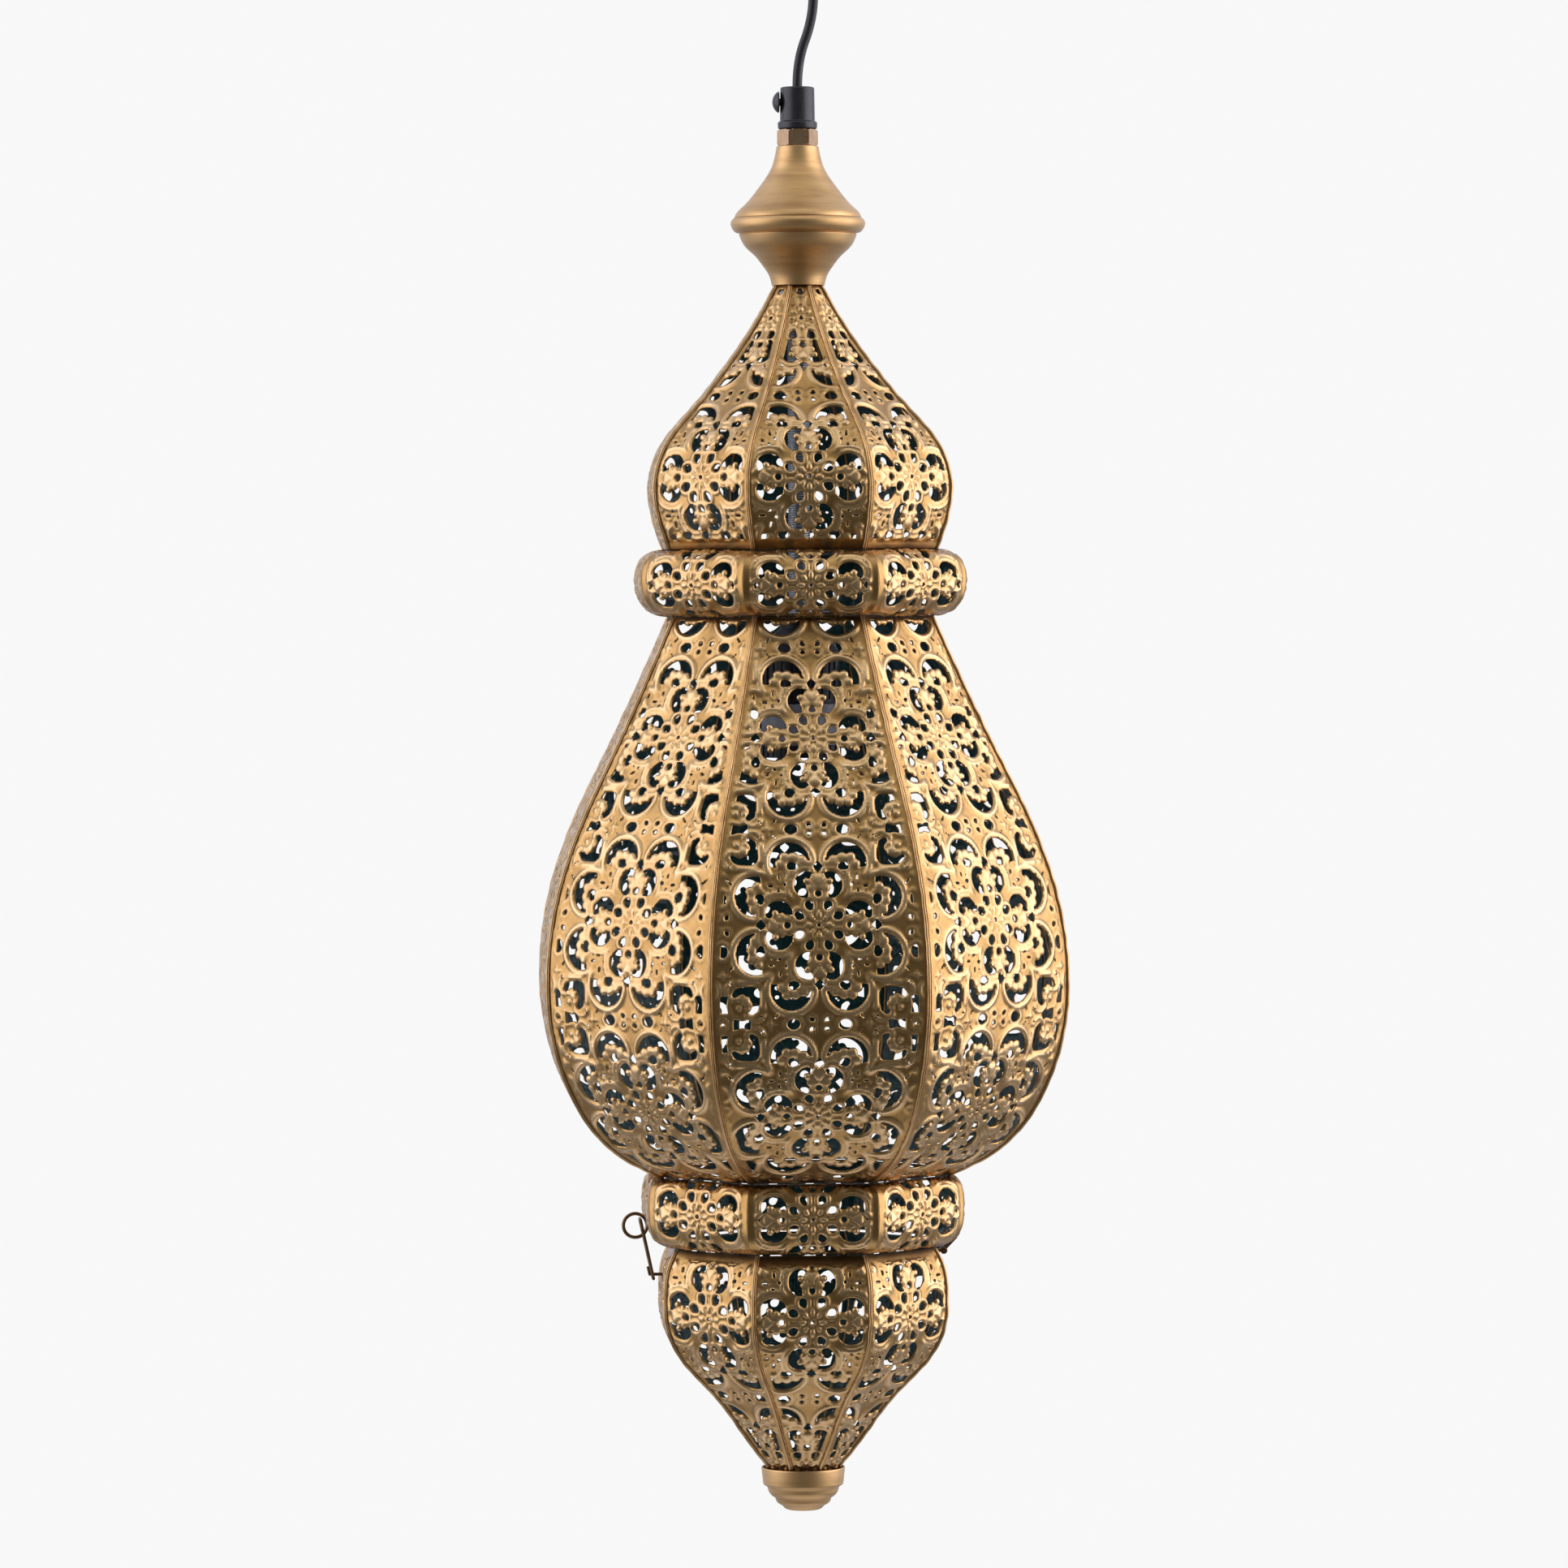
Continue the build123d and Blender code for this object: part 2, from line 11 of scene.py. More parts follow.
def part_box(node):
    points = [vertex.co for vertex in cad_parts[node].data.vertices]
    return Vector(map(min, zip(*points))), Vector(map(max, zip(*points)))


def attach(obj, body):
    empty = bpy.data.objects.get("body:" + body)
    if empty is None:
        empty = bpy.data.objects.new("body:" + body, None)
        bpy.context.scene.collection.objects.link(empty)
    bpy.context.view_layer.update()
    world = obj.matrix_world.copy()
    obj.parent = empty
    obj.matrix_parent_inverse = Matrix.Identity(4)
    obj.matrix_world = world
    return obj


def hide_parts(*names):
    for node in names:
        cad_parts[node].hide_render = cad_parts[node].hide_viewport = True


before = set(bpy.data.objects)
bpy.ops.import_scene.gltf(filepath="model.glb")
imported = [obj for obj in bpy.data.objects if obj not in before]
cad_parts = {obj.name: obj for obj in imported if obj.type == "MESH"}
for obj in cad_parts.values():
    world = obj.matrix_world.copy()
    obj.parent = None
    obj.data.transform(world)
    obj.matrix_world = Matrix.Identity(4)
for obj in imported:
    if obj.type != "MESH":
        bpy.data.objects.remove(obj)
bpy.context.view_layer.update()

MM = 0.001
SIDES = 8
HALF_ANGLE = math.radians(180 / SIDES)

# ---------------------------------------------------------------- camera
CAMERA_DISTANCE = 3.045
CAMERA_AZIMUTH = math.radians(-4)
CAMERA_ROLL = math.radians(-0.25)
CAMERA_LENS = 162.6
SENSOR_WIDTH = 36
EYE_Z = -0.325
AIM = (-0.00698, 0.00049, -0.417)

camera_data = bpy.data.cameras.new("camera")
camera_data.lens = CAMERA_LENS
camera_data.sensor_width = SENSOR_WIDTH
camera = bpy.data.objects.new("camera", camera_data)
bpy.context.scene.collection.objects.link(camera)
camera.location = (CAMERA_DISTANCE * math.sin(CAMERA_AZIMUTH), -CAMERA_DISTANCE * math.cos(CAMERA_AZIMUTH),
                   EYE_Z)
look = (Vector(AIM) - camera.location).to_track_quat("-Z", "Y")
camera.rotation_euler = (look @ Quaternion((0, 0, 1), CAMERA_ROLL)).to_euler()
bpy.context.scene.camera = camera

# ---------------------------------------------------------------- shared sizes, from the solid model, in mm
# each outline runs from the top of its piece: (apothem or radius, depth below that top)
DOME_OUTLINE = [(9.8, 0), (20.4, 19), (32.2, 36), (45.6, 52.7), (58.8, 69.4), (63.5, 86.5), (60.8, 103),
                (57.2, 113.6)]
UPPER_BAND_OUTLINE = [(58.0, 0), (65.0, 2.0), (68.8, 7.6), (69.4, 14.6), (67.0, 22.2), (62.2, 26.5),
                      (56.0, 27.8)]
BODY_OUTLINE = [(55.2, 0), (79.2, 53.3), (98.8, 95.6), (107.3, 123.6), (110.7, 158.6), (106.6, 187.1),
                (100.3, 203.7), (92.0, 217.7), (85.7, 224.7), (76.7, 231.7), (61.2, 239.6)]
LOWER_BAND_OUTLINE = [(61.0, 0), (65.0, 2.2), (67.5, 10.5), (67.3, 18.5), (65.6, 25.0), (62.2, 28.7),
                      (57.8, 30.5)]
BOWL_OUTLINE = [(55.3, 0), (58.8, 7.5), (60.5, 19.5), (60.2, 30.0), (58.2, 38.3), (52.4, 48.7), (42.8, 59.4),
                (31.4, 73.5), (21.7, 87.6), (15.2, 96.4), (13.4, 99.5)]
FINIAL_TOP_OUTLINE = [(9.0, 0), (11.3, 9.1), (16.7, 17.5), (23.7, 25.8), (27.0, 29.6), (27.3, 30.6)]
FINIAL_BOTTOM_OUTLINE = [(25.3, 0), (23.0, 4.7), (18.7, 8.9), (15.3, 13.1), (12.6, 17.3), (11.3, 21.8)]
BEAD_SECTION = [(22.0, 0), (27.2, 0), (28.2, 0.5), (28.9, 1.8), (28.9, 3.0), (28.3, 4.6), (27.0, 6.2),
                (25.2, 6.5), (25.0, 7.2), (22.0, 7.2)]
CAP_STEPS = [(18.1, 0), (17.3, 7.6), (15.6, 8.4), (15.0, 10.8), (13.5, 12.6), (12.2, 13.2), (11.6, 15.2),
             (10.2, 16.2), (9.2, 16.6), (8.2, 17.9), (6.8, 18.5)]
CAP_WALL = 0.8
# the cap's floor stops just short of the axis
CAP_AXIS = 0.05
CUP_OUTLINE = [(50.0, 0), (49.2, 8), (41.0, 17.5), (26.0, 22.6), (7.2, 26.0)]
CUP_WALL = 1.0
CUP_MOUTH = [(5.0, 26.0), (5.0, 24.8)]
CUP_LIP_RADIUS = 46.5
GRIP_BARREL = [(2.3, 0), (6.7, 0), (7.3, 0.5), (7.5, 14.6), (8.3, 15.0), (8.5, 15.5), (8.4, 17.6),
               (8.0, 18.0), (5.0, 18.0), (5.0, 11.0), (2.3, 11.0)]
GRIP_LENGTH = 18.0
# the flex hangs in the XZ plane: (x, height above the lower grip)
FLEX_ROUTE = [(0, 0), (0, 11.1), (6.6, 28.6), (7.4, 46), (0, 64), (0, 74)]
FLEX_RADIUS = 2.1
SHEET = 0.6
SEAM_HALF = 0.9
SPUN_WALL = 1.0
SPUN_FLOOR = 1.2
FINIAL_BORE = 5.2
BEAD_ROUNDING = 1.1
CAP_ROUNDING = 0.7
GRIP_ROUNDING = 0.45

# ---------------------------------------------------------------- materials
# scales of the noises, per metre
METAL_GRAIN = 900.0
PAINT_GRAIN = 1500.0
LATHE_LINES = 30.0
# how far a lathe's marks run round the piece, against their height
LATHE_BANDS_SQUASH = (1, 1, 7)
LATHE_LINES_SQUASH = (1, 1, 70)
EVEN = (1, 1, 1)
METAL_BUMP = 0.00004
PAINT_BUMP = 0.00003
PAINT_SPREAD = 0.08
COAT_ROUGHNESS = 0.45
# a tone is gain * noise + offset; relief has its own gain and offset beside a share of that tone, which
# paints ridges lighter and hollows darker: a painted highlight and painted shade
CLOUD_GAIN = 0.75
CLOUD_OFFSET = 0.12
CLOUD_SHARE = 0.60
RELIEF_GAIN = 0.34
RELIEF_OFFSET = 0.15
SPOT_SHARE = 0.6


def new_material(name):
    material = bpy.data.materials.new(name)
    material.use_nodes = True
    nodes = material.node_tree.nodes
    return material, nodes, material.node_tree.links, nodes["Principled BSDF"]


def add(nodes, kind, **values):
    """A new node. A value called in_X sets its input X, and any other value sets a property."""
    node = nodes.new(kind)
    for key, value in values.items():
        if key.startswith("in_"):
            node.inputs[key[3:]].default_value = value
        else:
            setattr(node, key, value)
    return node


def noise(nodes, links, scale, detail, roughness, squash=EVEN):
    """Noise in object space; scale is per metre."""
    where = add(nodes, "ShaderNodeTexCoord")
    mapping = add(nodes, "ShaderNodeMapping")
    mapping.inputs["Scale"].default_value = squash
    links.new(where.outputs["Object"], mapping.inputs["Vector"])
    texture = add(nodes, "ShaderNodeTexNoise", in_Scale=scale, in_Detail=detail, in_Roughness=roughness)
    links.new(mapping.outputs["Vector"], texture.inputs["Vector"])
    return texture.outputs["Fac"]


def ramp(nodes, links, source, stops):
    """The colour of a value between (position, colour) stops."""
    node = nodes.new("ShaderNodeValToRGB")
    elements = node.color_ramp.elements
    while len(elements) < len(stops):
        elements.new(0.5)
    for element, (place, colour) in zip(elements, stops):
        element.position = place
        element.color = (*colour, 1)
    links.new(source, node.inputs["Fac"])
    return node.outputs["Color"]


def grey(value):
    return (value, value, value)


def multiply(nodes, links, factor, first, second):
    """The first colour, multiplied by the second as far as the factor says."""
    node = add(nodes, "ShaderNodeMix", data_type="RGBA", blend_type="MULTIPLY")
    for socket, value in (("Factor", factor), ("A", first), ("B", second)):
        target = next(each for each in node.inputs if each.name == socket and each.enabled)
        if hasattr(value, "is_linked"):
            links.new(value, target)
        else:
            target.default_value = value
    return next(each for each in node.outputs if each.enabled)


def maths(nodes, links, operation, *values):
    node = add(nodes, "ShaderNodeMath", operation=operation)
    for index, value in enumerate(values):
        if hasattr(value, "is_linked"):
            links.new(value, node.inputs[index])
        else:
            node.inputs[index].default_value = value
    return node.outputs[0]


def add_bump(nodes, links, shader, height, distance, strength):
    bump = add(nodes, "ShaderNodeBump", in_Strength=strength, in_Distance=distance)
    links.new(height, bump.inputs["Height"])
    links.new(bump.outputs["Normal"], shader.inputs["Normal"])


def metal(name, dark, mid, light, roughness, spread, stains=55.0, attribute=None, turned=False, coat=0.0):
    """Aged metal: three tones laid out by noise and, where the mesh has it, by the height of its relief,
    which paints a highlight on the ridges and shade in the hollows.
    """
    material, nodes, links, shader = new_material(name)
    shader.inputs["Metallic"].default_value = 1.0
    shader.inputs["Coat Weight"].default_value = coat
    shader.inputs["Coat Roughness"].default_value = COAT_ROUGHNESS
    cloud = noise(nodes, links, stains, 5.0, 0.6, LATHE_BANDS_SQUASH if turned else EVEN)
    if turned:
        fine = noise(nodes, links, LATHE_LINES, 4.0, 0.7, LATHE_LINES_SQUASH)
    else:
        fine = noise(nodes, links, METAL_GRAIN, 3.0, 0.6)
    tone = maths(nodes, links, "MULTIPLY_ADD", cloud, CLOUD_GAIN, CLOUD_OFFSET)
    # the relief attribute lays painted highlight on ridges and painted shade in hollows and along the sheets'
    # joined edges
    if attribute:
        relief = add(nodes, "ShaderNodeAttribute", attribute_name=attribute)
        raised = maths(nodes, links, "MULTIPLY_ADD", relief.outputs["Fac"], RELIEF_GAIN, RELIEF_OFFSET)
        tone = maths(nodes, links, "ADD", maths(nodes, links, "MULTIPLY", tone, CLOUD_SHARE), raised)
    colour = ramp(nodes, links, tone, [(0.18, dark), (0.48, mid), (0.82, light)])
    spots = ramp(nodes, links, fine, [(0.30, grey(0.80)), (0.50, grey(1.0))])
    links.new(multiply(nodes, links, SPOT_SHARE, colour, spots), shader.inputs["Base Color"])
    rough = ramp(nodes, links, cloud, [(0.3, grey(roughness + spread)), (0.7, grey(roughness - spread))])
    links.new(rough, shader.inputs["Roughness"])
    add_bump(nodes, links, shader, fine, METAL_BUMP, 0.5)
    return material


def painted(name, dark, light, roughness, coat=0.0, scale=120.0):
    """Paint or plastic with slight blotches and a fine grain."""
    material, nodes, links, shader = new_material(name)
    shader.inputs["Coat Weight"].default_value = coat
    cloud = noise(nodes, links, scale, 5.0, 0.6)
    fine = noise(nodes, links, PAINT_GRAIN, 2.0, 0.5)
    links.new(ramp(nodes, links, cloud, [(0.3, dark), (0.7, light)]), shader.inputs["Base Color"])
    stops = [(0.3, grey(roughness + PAINT_SPREAD)), (0.7, grey(roughness - PAINT_SPREAD))]
    rough = ramp(nodes, links, fine, stops)
    links.new(rough, shader.inputs["Roughness"])
    add_bump(nodes, links, shader, fine, PAINT_BUMP, 0.35)
    return material


# tones from dark to light, roughness and its spread, and how the tones are laid out
# the sheets' gold takes its painted highlight and shade from the relief attribute
GOLD = metal("antique_gold", (0.08, 0.034, 0.009), (0.42, 0.247, 0.082), (0.70, 0.485, 0.252), 0.34, 0.05,
             coat=0.25, attribute="relief")
# the seams' gold is lighter than the sheets': a painted highlight along the corner ridges
SEAM_GOLD = metal("seam_gold", (0.20, 0.10, 0.035), (0.52, 0.32, 0.13), (0.74, 0.52, 0.28), 0.38, 0.08,
                  stains=90, coat=0.35)
SPUN = metal("spun_brass", (0.30, 0.175, 0.068), (0.55, 0.345, 0.145), (0.70, 0.47, 0.24), 0.46, 0.05,
             stains=26, turned=True, coat=0.3)
NUT = metal("nut_brass", (0.24, 0.145, 0.08), (0.50, 0.33, 0.19), (0.70, 0.51, 0.37), 0.34, 0.06, stains=160)
ZINC = metal("zinc_steel", (0.30, 0.31, 0.33), (0.50, 0.51, 0.54), (0.66, 0.67, 0.70), 0.34, 0.08, stains=140)
CONTACT = metal("contact_brass", (0.50, 0.34, 0.12), (0.70, 0.52, 0.24), (0.86, 0.70, 0.40), 0.26, 0.06,
                stains=120)
WIRE = metal("aged_wire", (0.055, 0.032, 0.016), (0.17, 0.10, 0.05), (0.36, 0.24, 0.13), 0.38, 0.08,
             stains=420)
TEAL = painted("teal_lacquer", (0.004, 0.040, 0.044), (0.012, 0.085, 0.090), 0.34, coat=0.3)
BLACK = painted("black_plastic", (0.006, 0.006, 0.009), (0.014, 0.014, 0.019), 0.40, coat=0.1, scale=260)
SHEATH = painted("flex_sheath", (0.006, 0.006, 0.008), (0.012, 0.012, 0.016), 0.44, scale=400)
HOLDER = painted("holder_grey", (0.26, 0.26, 0.30), (0.40, 0.40, 0.46), 0.30, coat=0.3, scale=200)
FLOOR = painted("pale_floor", (0.70, 0.70, 0.70), (0.76, 0.76, 0.76), 0.6, scale=12)

# ---------------------------------------------------------------- pressed pattern
# Each shape is a field over the sheet: about the distance to the shape's edge, and below 0 inside it.


def ellipse(a, b, ca, cb, ra, rb, turn=0.0):
    c, s = math.cos(math.radians(turn)), math.sin(math.radians(turn))
    p, q = a - ca, b - cb
    p, q = p * c + q * s, -p * s + q * c
    return (np.hypot(p / ra, q / rb) - 1) * min(ra, rb)


def circle(a, b, ca, cb, r):
    return np.hypot(a - ca, b - cb) - r


def capsule(a, b, start, end, r):
    (x0, y0), (x1, y1) = start, end
    dx, dy = x1 - x0, y1 - y0
    t = np.clip(((a - x0) * dx + (b - y0) * dy) / (dx * dx + dy * dy), 0, 1)
    return np.hypot(a - x0 - t * dx, b - y0 - t * dy) - r


def union(*fields):
    return np.minimum.reduce(fields)


def highest(*fields):
    return np.maximum.reduce(fields)


def stroke(a, b, points, r):
    return union(*[capsule(a, b, p, q, r) for p, q in zip(points, points[1:])])


def cut(shape, *others):
    return highest(shape, *[-other for other in others])


def blend(*fields, k=0.02):
    """A union whose inner corners are rounded over a width k."""
    out = fields[0]
    for field in fields[1:]:
        h = np.clip(0.5 + 0.5 * (field - out) / k, 0, 1)
        out = field * (1 - h) + out * h - k * h * (1 - h)
    return out


def ridge(d, width):
    """1 where d is 0, falling away smoothly on both sides."""
    return np.exp(-((d / width) ** 2))


def pillow(d, width):
    """Rises from 0 at the edge of a shape (d = 0) to 1 at width inside it."""
    return np.sqrt(1 - (1 - np.clip(-d / width, 0, 1)) ** 2)


def gate(value, start, width):
    """Rises from 0 at start to 1 a width further on."""
    return np.clip((value - start) / width, 0, 1)


def pattern(x, y):
    """(clearance to the nearest hole, height of the relief) of a pattern that repeats every 2 units."""
    x = np.abs((x + 1) % 2 - 1)
    y = np.abs((y + 1) % 2 - 1)
    a, b = np.minimum(x, y), np.maximum(x, y)
    r = np.hypot(a, b)
    edge = 1 - b

    # rosette: eight petals inside a ring of eight bean holes
    petal = np.minimum(ellipse(a, b, 0, 0.105, 0.028, 0.052), ellipse(a, b, 0.074, 0.074, 0.028, 0.052, -45))
    bean = blend(ellipse(a, b, 0.098, 0.205, 0.044, 0.048, -24), circle(a, b, 0.078, 0.165, 0.016))
    axis_dot = circle(a, b, 0, 0.325, 0.034)

    # inner lobe: a crescent each side of a scrolled leaf
    lobe = ellipse(a, b, 0.126, 0.412, 0.124, 0.142)
    knob = circle(a, b, 0.124, 0.452, 0.033)
    leaf = blend(ellipse(a, b, 0.026, 0.448, 0.066, 0.088, 12), ellipse(a, b, 0.085, 0.372, 0.045, 0.032, 30))
    vein = stroke(a, b, [(0.020, 0.350), (0.032, 0.420), (0.074, 0.478), (0.098, 0.490)], 0.0)
    stem = ellipse(a, b, 0.02, 0.31, 0.085, 0.065)
    inner = cut(lobe, blend(leaf, knob, k=0.015), stem, a - 0.050)

    # diamond, round hole, and the large outer crescent over its scalloped leaf
    diamond = (a + np.abs(b - 0.6) - 0.060) * 0.707
    eye = blend(circle(a, b, 0.275, 0.607, 0.047), circle(a, b, 0.228, 0.600, 0.018), k=0.05)
    big = circle(a, b, 0.292, 0.650, 0.212)
    bumps = blend(circle(a, b, 0.160, 0.672, 0.052), circle(a, b, 0.252, 0.700, 0.052),
                  circle(a, b, 0.345, 0.705, 0.048), circle(a, b, 0.398, 0.630, 0.046), k=0.02)
    fill = ellipse(a, b, 0.285, 0.595, 0.140, 0.112)
    outer = cut(big, bumps, fill, circle(a, b, 0.10, 0.60, 0.062), b - 0.545 - 0.10 * a)

    # specks along the diagonal
    specks = union(circle(a, b, 0.345, 0.412, 0.020), circle(a, b, 0.335, 0.490, 0.013),
                   capsule(a, b, (0.398, 0.468), (0.402, 0.512), 0.013))

    # border row: pairs of small holes, an oval, a star with slits, a bow tie
    dots = ellipse(a, edge, 0.080, 0.048, 0.030, 0.024, 20)
    oval = ellipse(a, edge, 0.268, 0.0, 0.068, 0.054)
    slits = union(capsule(a, edge, (0.420, 0.100), (0.462, 0.062), 0.012),
                  capsule(a, edge, (0.610, 0.090), (0.570, 0.058), 0.012))
    bow = np.maximum(np.abs(a - 0.800) - 0.090, edge - 0.036 - 0.26 * np.abs(a - 0.800))
    star_x = np.abs(a - 0.515)
    star = np.minimum(star_x * 3.2 + edge, star_x + edge * 3.2) - 0.085

    # corner bracket: two hooked legs that meet on the diagonal round a fleur leaf
    fleur = blend(circle(a, b, 0.765, 0.765, 0.052), circle(a, b, 0.745, 0.838, 0.034),
                  circle(a, b, 0.83, 0.83, 0.036), k=0.012)
    leg = stroke(a, b, [(0.658, 0.668), (0.654, 0.79), (0.668, 0.850), (0.700, 0.872)], 0.034)
    leg = cut(blend(leg, ellipse(a, b, 0.672, 0.715, 0.052, 0.075)), fleur)
    boss = circle(a, b, 1, 1, 0.055)

    clear = union(circle(a, b, 0, 0, 0.022), bean, axis_dot, inner, diamond, eye, outer, specks, dots, oval,
                  slits, bow, leg, circle(a, b, 1, 1, 0.020))
    heights = [
        0.95 * pillow(petal, 0.024),
        0.80 * ridge(r - 0.034, 0.013),
        0.75 * ridge(bean - 0.022, 0.017),
        0.80 * ridge(axis_dot - 0.026, 0.017),
        0.75 * ridge(lobe - 0.026, 0.019) * gate(b, 0.30, 0.06) * gate(a, 0.03, 0.03),
        0.90 * ridge(lobe - 0.074, 0.024) * gate(b, 0.25, 0.06) * gate(a, 0.0, 0.02),
        0.95 * pillow(leaf, 0.052) * (1 - 0.75 * ridge(vein, 0.012)),
        0.95 * pillow(knob, 0.030),
        1.00 * ridge(big - 0.036, 0.027) * gate(b, 0.48, 0.05),
        0.90 * pillow(bumps, 0.036),
        0.70 * ridge(eye - 0.024, 0.018),
        0.35 * ridge(specks - 0.016, 0.012),
        0.45 * ridge(dots - 0.016, 0.014),
        0.60 * ridge(oval - 0.018, 0.018),
        0.95 * ridge(a - 0.575, 0.026) * gate(b, 0.60, 0.05) * gate(-b, -0.88, 0.05),
        0.85 * ridge(circle(a, b, 0.665, 0.880, 0.090), 0.024) * gate(b, 0.87, 0.02),
        0.50 * ridge(leg - 0.020, 0.015),
        0.95 * pillow(fleur, 0.036),
        0.50 * ridge(bow - 0.018, 0.015),
        0.80 * ridge(boss, 0.017),
        0.70 * pillow(star, 0.08),
    ]
    return clear, highest(*heights)


# ---------------------------------------------------------------- sheet-metal sections


class Curve:
    """A smooth curve through an outline, by length along it: apothem, depth and outward normal, all in mm."""

    def __init__(self, outline, samples=1500):
        p = np.array(outline, float)
        h = np.hypot(*np.diff(p, axis=0).T)
        knots = np.concatenate([[0], np.cumsum(h)])
        rows, right = np.eye(len(p)), np.zeros((len(p), 2))
        for i in range(1, len(p) - 1):
            rows[i, i - 1:i + 2] = h[i - 1], 2 * (h[i - 1] + h[i]), h[i]
            right[i] = 6 * ((p[i + 1] - p[i]) / h[i] - (p[i] - p[i - 1]) / h[i - 1])
        bend = np.linalg.solve(rows, right)
        t = np.linspace(0, knots[-1], samples)
        i = np.clip(np.searchsorted(knots, t, side="right") - 1, 0, len(p) - 2)
        span = h[i][:, None]
        after = (t - knots[i])[:, None] / span
        before = 1 - after
        curved = (before**3 - before) * bend[i] + (after**3 - after) * bend[i + 1]
        points = before * p[i] + after * p[i + 1] + curved * span**2 / 6
        self.radius, self.depth = points.T
        steps = np.diff(points, axis=0)
        self.s = np.concatenate([[0], np.cumsum(np.hypot(*steps.T))])
        self.length = self.s[-1]
        slope_r, slope_d = np.gradient(self.radius, self.s), np.gradient(self.depth, self.s)
        size = np.hypot(slope_r, slope_d)
        self.normal_r, self.normal_z = slope_d / size, slope_r / size

    def at(self, s):
        columns = (self.radius, self.depth, self.normal_r, self.normal_z)
        return [np.interp(s, self.s, values) for values in columns]

    def along(self, depth):
        return float(np.interp(depth, self.depth, self.s))


def clip_to_metal(f, triangles):
    """Cuts triangles where f is 0: (ends of each new vertex, its share of the way, the new triangles)."""
    inside = f > 0
    count = inside[triangles].sum(1)

    def lone_first(rows, wanted):
        lone = np.argmax(inside[rows] == wanted, axis=1)
        return np.stack([rows[np.arange(len(rows)), (lone + turn) % 3] for turn in range(3)], 1)

    one, two = lone_first(triangles[count == 1], True), lone_first(triangles[count == 2], False)
    edges = np.concatenate([one[:, [0, 1]], one[:, [0, 2]], two[:, [0, 1]], two[:, [0, 2]]])
    unique, index = np.unique(np.sort(edges, axis=1), axis=0, return_inverse=True)
    index = index.ravel() + len(f)
    one_a, one_b, two_a, two_b = np.split(index, np.cumsum([len(one), len(one), len(two)]))
    made = np.concatenate([
        triangles[count == 3],
        np.stack([one[:, 0], one_a, one_b], 1),
        np.stack([two_a, two[:, 1], two[:, 2]], 1),
        np.stack([two_a, two[:, 2], two_b], 1),
    ])
    first, second = f[unique[:, 0]], f[unique[:, 1]]
    return unique, first / (first - second), made


def largest_piece(count, triangles):
    """The triangles of the largest connected piece, so that nothing floats."""
    label = np.arange(count)
    pairs = np.concatenate([triangles[:, [0, 1]], triangles[:, [1, 2]]])
    while True:
        low = np.minimum(label[pairs[:, 0]], label[pairs[:, 1]])
        new = label.copy()
        np.minimum.at(new, pairs[:, 0], low)
        np.minimum.at(new, pairs[:, 1], low)
        new = new[new]
        if np.array_equal(new, label):
            break
        label = new
    names, sizes = np.unique(label[triangles[:, 0]], return_counts=True)
    return triangles[label[triangles[:, 0]] == names[np.argmax(sizes)]]


def mesh_from(name, vertices, faces, material_index, materials, relief=None):
    """A mesh from arrays of triangles; vertices in mm."""
    mesh = bpy.data.meshes.new(name)
    mesh.vertices.add(len(vertices))
    mesh.vertices.foreach_set("co", (np.asarray(vertices) * MM).astype(np.float32).ravel())
    mesh.loops.add(3 * len(faces))
    mesh.loops.foreach_set("vertex_index", faces.astype(np.int32).ravel())
    mesh.polygons.add(len(faces))
    mesh.polygons.foreach_set("loop_start", np.arange(0, 3 * len(faces), 3, dtype=np.int32))
    mesh.polygons.foreach_set("material_index", material_index.astype(np.int32))
    mesh.polygons.foreach_set("use_smooth", np.ones(len(faces), bool))
    for material in materials:
        mesh.materials.append(material)
    if relief is not None:
        layer = mesh.attributes.new("relief", "FLOAT", "POINT")
        layer.data.foreach_set("value", relief.astype(np.float32))
    mesh.update(calc_edges=True)
    mesh.validate()
    return mesh


# size of a unit of the pattern across a sheet and down it, in mm
UNIT_ACROSS = 40.3
UNIT_ALONG = 41.4
# the relief stands up from a level just under the solid sheet's face, and fades out along the plain edges
RELIEF_HEIGHT = 1.0
RELIEF_BASE = -0.15
RELIEF_FADE = 1.6
# how far the relief reaches into the plain margin at the corners, and at the top and the end
INTO_MARGIN = 2.2
INTO_END = 1
# painted shade along each sheet's top and end, where it meets the next piece, as a share of the relief's full
# tone, and how far it reaches in mm
EDGE_SHADE = 0.55
EDGE_SHADE_WIDTH = 3.4


@dataclass
class Section:
    """A stretch of the lantern made of eight equal sheets; sizes in mm."""

    name: str
    outline: list
    body: str
    rosette_depth: float  # of the middle of a rosette, below the top
    cell: float  # of the grid that the mesh is cut from
    margin: float  # plain metal along the corners
    top_margin: float
    end_margin: float
    tighter: float  # how much smaller each hole is than the pattern's
    seam_end: float = 0.0  # depth where the corner seams end; a band has none


SECTIONS = [
    Section("dome", DOME_OUTLINE, "lantern", rosette_depth=82.7, cell=0.73, margin=3.6, top_margin=2.0,
            end_margin=4.8, tighter=0.08, seam_end=113.6),
    Section("upper_band", UPPER_BAND_OUTLINE, "lantern", rosette_depth=14.8, cell=0.66, margin=4.8,
            top_margin=1.2, end_margin=1.6, tighter=0.18),
    Section("body", BODY_OUTLINE, "lantern", rosette_depth=127.9, cell=0.88, margin=4.4, top_margin=2.0,
            end_margin=2.0, tighter=0.08, seam_end=239.6),
    Section("lower_band", LOWER_BAND_OUTLINE, "lantern", rosette_depth=14.8, cell=0.66, margin=4.8,
            top_margin=1.2, end_margin=2.0, tighter=0.18),
    Section("bowl", BOWL_OUTLINE, "bowl", rosette_depth=28.0, cell=0.73, margin=3.2, top_margin=5.0,
            end_margin=2.0, tighter=0.08, seam_end=96.5),
]


